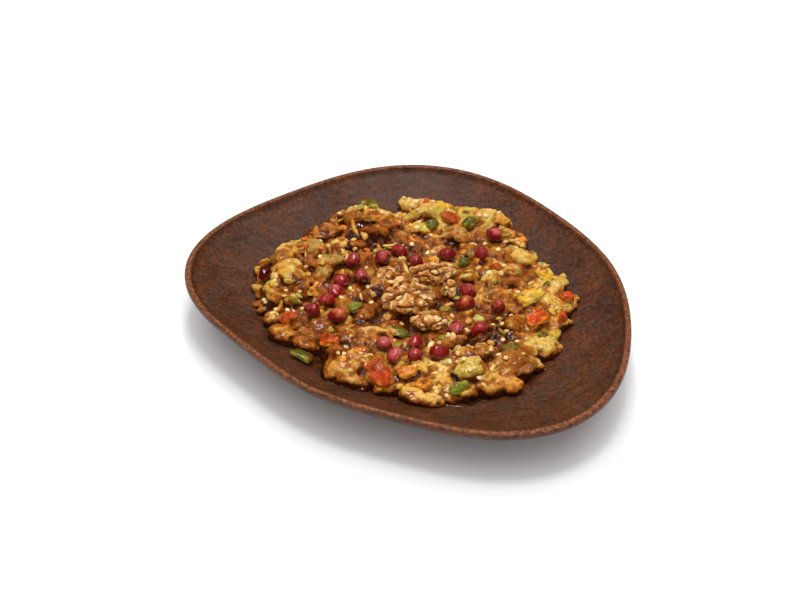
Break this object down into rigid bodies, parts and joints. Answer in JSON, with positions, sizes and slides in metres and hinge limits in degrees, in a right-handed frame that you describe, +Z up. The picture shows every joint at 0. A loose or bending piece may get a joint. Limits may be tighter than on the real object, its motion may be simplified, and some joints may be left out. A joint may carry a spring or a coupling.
{
  "type": "baba ganoush on a plate",
  "caption": "Mashed smoked aubergine dip in a shallow rounded three-cornered stoneware plate, topped with walnut, pomegranate arils and diced peppers.",
  "frame": {"origin": "on the surface the plate stands on, under the middle of the plate's box", "axes": "+Z up; +X to the right and +Y away from the side where the plate's left and right front corners meet the long front edge"},
  "size_m": [0.2007, 0.1994, 0.0286],
  "materials": {
    "plate": "satin",
    "mash": "glossy",
    "aril": "glossy",
    "walnut": "satin",
    "pepper_red": "glossy",
    "pepper_orange": "glossy",
    "pepper_yellow": "glossy",
    "pepper_green": "glossy",
    "skin": "satin",
    "seed": "satin",
    "sauce": "glossy",
    "herb": "satin"
  },
  "bodies": {
    "root": {"plate": "plate", "mash": "mash", "aril_01": "aril", "aril_02": "aril", "aril_03": "aril", "aril_04": "aril", "aril_05": "aril", "aril_06": "aril", "aril_07": "aril", "aril_08": "aril", "aril_09": "aril", "aril_10": "aril", "aril_11": "aril", "aril_12": "aril", "aril_13": "aril", "aril_14": "aril", "aril_15": "aril", "aril_16": "aril", "aril_17": "aril", "aril_18": "aril", "aril_19": "aril", "aril_20": "aril", "aril_21": "aril", "aril_22": "aril", "aril_23": "aril", "aril_24": "aril", "aubergine_skin": "skin", "pepper_green_01": "pepper_green", "pepper_green_02": "pepper_green", "pepper_green_03": "pepper_green", "pepper_green_04": "pepper_green", "pepper_green_05": "pepper_green", "pepper_green_06": "pepper_green", "pepper_green_07": "pepper_green", "pepper_green_08": "pepper_green", "pepper_green_09": "pepper_green", "pepper_green_fallen": "pepper_green", "pepper_orange_01": "pepper_orange", "pepper_orange_02": "pepper_orange", "pepper_orange_03": "pepper_orange", "pepper_orange_04": "pepper_orange", "pepper_orange_05": "pepper_orange", "pepper_red_01": "pepper_red", "pepper_red_02": "pepper_red", "pepper_red_03": "pepper_red", "pepper_red_04": "pepper_red", "pepper_red_05": "pepper_red", "pepper_red_06": "pepper_red", "pepper_red_07": "pepper_red", "pepper_red_08": "pepper_red", "pepper_yellow_01": "pepper_yellow", "pepper_yellow_02": "pepper_yellow", "walnut_01": "walnut", "walnut_02": "walnut", "walnut_03": "walnut", "walnut_04": "walnut", "walnut_05": "walnut", "walnut_06": "walnut"}
  },
  "joints": []
}
